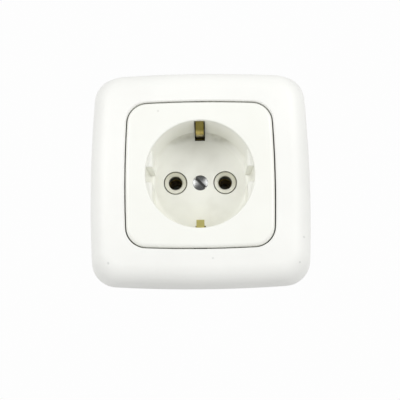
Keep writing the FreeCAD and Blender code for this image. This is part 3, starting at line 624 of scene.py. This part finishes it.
# Screw threads: the shank of each screw is drawn in to the root, and a coil is wound round it. The head and
# the point stay plain: front is the plain length at the end towards the room, rear the one at the other end
threadSizes = {
    "cover_screw": {"radius": 0.0015, "depth": 0.00026, "pitch": 0.0005, "front": 0.0020, "rear": 0.0008},
    "terminal_screw": {"radius": 0.0017, "depth": 0.00030, "pitch": 0.0006, "front": 0.0020, "rear": 0.0009},
    "claw_screw": {"radius": 0.0015, "depth": 0.00026, "pitch": 0.0005, "front": 0.0018, "rear": 0.0008},
    "lid_screw": {"radius": 0.0012, "depth": 0.00028, "pitch": 0.0009, "front": 0.0006, "rear": 0.0012},
}
coilSizes = {
    "stepsPerTurn": 22,
    "ridgeSides": 4,
    "within": 0.00001,        # a point this near to the shank's radius belongs to the shank
}


def screwKind(node):
    return next((kind for kind in threadSizes if kind in node), None)


def screwPlace(node):
    # X and Z of the screw's middle line, and Y of its front and rear ends
    low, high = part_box(node)
    return (low[0] + high[0]) / 2, (low[2] + high[2]) / 2, low[1], high[1]


def drawInShank(mesh, node, sizes):
    x, z = screwPlace(node)[:2]
    for vertex in mesh.vertices:
        reach = Vector((vertex.co.x - x, 0, vertex.co.z - z))
        if abs(reach.length - sizes["radius"]) < coilSizes["within"]:
            vertex.co = vertex.co - reach * (sizes["depth"] / reach.length)


def makeSurface(node):
    mesh = frame["nodes"][node].data.copy()
    mesh.materials.clear()
    mesh.materials.append(finishOf(node))
    kind = screwKind(node)
    if kind:
        drawInShank(mesh, node, threadSizes[kind])
    piece = linkUp(bpy.data.objects.new(node + "_surface", mesh))
    roundShading(piece, surfaceSizes)
    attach(piece, bodyOf(node))
    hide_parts(node)


for node in sorted(frame["nodes"]):
    makeSurface(node)
print("surfaces made")


def treeNode(tree, kind, settings, values):
    made = tree.nodes.new(kind)
    for key, value in settings.items():
        setattr(made, key, value)
    for key, value in values.items():
        if isinstance(value, bpy.types.NodeSocket):
            tree.links.new(value, made.inputs[key])
        else:
            made.inputs[key].default_value = value
    return made.outputs


def makeThreadTree(sizes):
    # winds a coil with a square ridge along +Y from every point that it is given
    tree = bpy.data.node_groups.new("screw thread", "GeometryNodeTree")
    sockets = tree.interface
    sockets.new_socket("Geometry", in_out="INPUT", socket_type="NodeSocketGeometry")
    for name in ("Root Radius", "Depth", "Turns", "Length"):
        sockets.new_socket(name, in_out="INPUT", socket_type="NodeSocketFloat")
    sockets.new_socket("Finish", in_out="INPUT", socket_type="NodeSocketMaterial")
    sockets.new_socket("Geometry", in_out="OUTPUT", socket_type="NodeSocketGeometry")
    given = tree.nodes.new("NodeGroupInput").outputs
    spiral = treeNode(tree, "GeometryNodeCurveSpiral", {}, {
        "Resolution": sizes["stepsPerTurn"], "Rotations": given["Turns"], "Height": given["Length"],
        "Start Radius": given["Root Radius"], "End Radius": given["Root Radius"]})
    upright = treeNode(tree, "GeometryNodeSetCurveNormal", {"mode": "Z_UP"}, {"Curve": spiral["Curve"]})
    ridge = treeNode(tree, "GeometryNodeCurvePrimitiveCircle", {"mode": "RADIUS"}, {
        "Resolution": sizes["ridgeSides"], "Radius": given["Depth"]})
    coil = treeNode(tree, "GeometryNodeCurveToMesh", {}, {
        "Curve": upright["Curve"], "Profile Curve": ridge["Curve"], "Fill Caps": True})
    turned = treeNode(tree, "GeometryNodeTransform", {}, {
        "Geometry": coil["Mesh"], "Rotation": (-math.pi / 2, 0, 0)})
    placed = treeNode(tree, "GeometryNodeInstanceOnPoints", {}, {
        "Points": given["Geometry"], "Instance": turned["Geometry"]})
    solid = treeNode(tree, "GeometryNodeRealizeInstances", {}, {"Geometry": placed["Instances"]})
    finished = treeNode(tree, "GeometryNodeSetMaterial", {}, {
        "Geometry": solid["Geometry"], "Material": given["Finish"]})
    treeNode(tree, "NodeGroupOutput", {}, {"Geometry": finished["Geometry"]})
    return tree


def makeThreads(tree, kind, sizes):
    nodes = sorted(node for node in frame["nodes"] if kind in node)
    places = [screwPlace(node) for node in nodes]
    starts = [(x, front + sizes["front"] + sizes["depth"], z) for x, z, front, rear in places]
    front, rear = places[0][2:]
    length = rear - front - sizes["front"] - sizes["rear"] - 2 * sizes["depth"]
    mesh = bpy.data.meshes.new(kind + "_threads")
    mesh.from_pydata(starts, [], [])
    piece = linkUp(bpy.data.objects.new(kind + "_threads", mesh))
    modifier = piece.modifiers.new("thread", "NODES")
    modifier.node_group = tree
    wanted = {
        "Root Radius": sizes["radius"] - sizes["depth"],
        "Depth": sizes["depth"] - coilSizes["within"],
        "Turns": length / sizes["pitch"],
        "Length": length,
        "Finish": finishOf(nodes[0]),
    }
    for item in tree.interface.items_tree:
        if item.in_out == "INPUT" and item.name in wanted:
            modifier[item.identifier] = wanted[item.name]
    bakeDown(piece)
    roundShading(piece, surfaceSizes)
    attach(piece, bodyOf(nodes[0]))


threadTree = makeThreadTree(coilSizes)
for kind, sizes in threadSizes.items():
    makeThreads(threadTree, kind, sizes)
print("threads made")


# Stage: pale floor well below, white surroundings, soft light from two lamps in front and a weak one above.
# Every lamp faces the plug axis at the wall's face, and its power is in watts
stageSizes = {
    "floorHeight": -0.18,
    "floorRadius": 0.8,
    "floorSides": 96,
    "floorPaint": (0.86, 0.86, 0.86, 1),
    "floorRoughness": 0.9,
    "backdrop": (0.985, 0.985, 0.985, 1),
    "backdropStrength": 1.0,
    "fill": (1, 1, 1, 1),
    "fillStrength": 0.535,
}
lampSizes = {
    "lampLeft": {"place": (-0.2732, -0.2732, 0.1035), "size": 0.2, "power": 0.548},
    "lampRight": {"place": (0.2732, -0.2732, 0.1035), "size": 0.2, "power": 0.598},
    "lampTop": {"place": (0, -0.12, 0.28), "size": 0.2, "power": 0.03},
}


def makeFloor(sizes):
    mesh = bpy.data.meshes.new("floor")
    shape = bmesh.new()
    bmesh.ops.create_circle(shape, cap_ends=True, segments=sizes["floorSides"], radius=sizes["floorRadius"])
    shape.to_mesh(mesh)
    shape.free()
    mesh.transform(Matrix.Translation((0, 0, sizes["floorHeight"])))
    floor = linkUp(bpy.data.objects.new("floor", mesh))
    finish = {"Base Color": sizes["floorPaint"], "Roughness": sizes["floorRoughness"]}
    mesh.materials.append(Board("floor paper", finish).material)


def makeWorld(sizes):
    world = bpy.data.worlds.new("room")
    scene.world = world
    world.use_nodes = True
    tree = world.node_tree
    fill = tree.nodes["Background"]
    white = tree.nodes.new("ShaderNodeBackground")
    for light, name in ((fill, "fill"), (white, "backdrop")):
        light.inputs["Color"].default_value = sizes[name]
        light.inputs["Strength"].default_value = sizes[name + "Strength"]
    rays = tree.nodes.new("ShaderNodeLightPath").outputs
    seen = rays["Is Camera Ray"]
    for ray in ("Is Glossy Ray", "Is Transmission Ray"):
        either = tree.nodes.new("ShaderNodeMath")
        either.operation = "MAXIMUM"
        tree.links.new(seen, either.inputs[0])
        tree.links.new(rays[ray], either.inputs[1])
        seen = either.outputs[0]
    pick = tree.nodes.new("ShaderNodeMixShader")
    for spot, socket in enumerate((seen, fill.outputs[0], white.outputs[0])):
        tree.links.new(socket, pick.inputs[spot])
    tree.links.new(pick.outputs[0], tree.nodes["World Output"].inputs["Surface"])


def makeLamp(name, sizes):
    lamp = bpy.data.lights.new(name, "AREA")
    lamp.shape = "SQUARE"
    lamp.size = sizes["size"]
    lamp.energy = sizes["power"]
    holder = linkUp(bpy.data.objects.new(name, lamp))
    place = Vector(sizes["place"])
    holder.matrix_world = Matrix.Translation(place) @ place.to_track_quat("Z", "Y").to_matrix().to_4x4()


makeFloor(stageSizes)
makeWorld(stageSizes)
for name, sizes in lampSizes.items():
    makeLamp(name, sizes)
print("stage set")
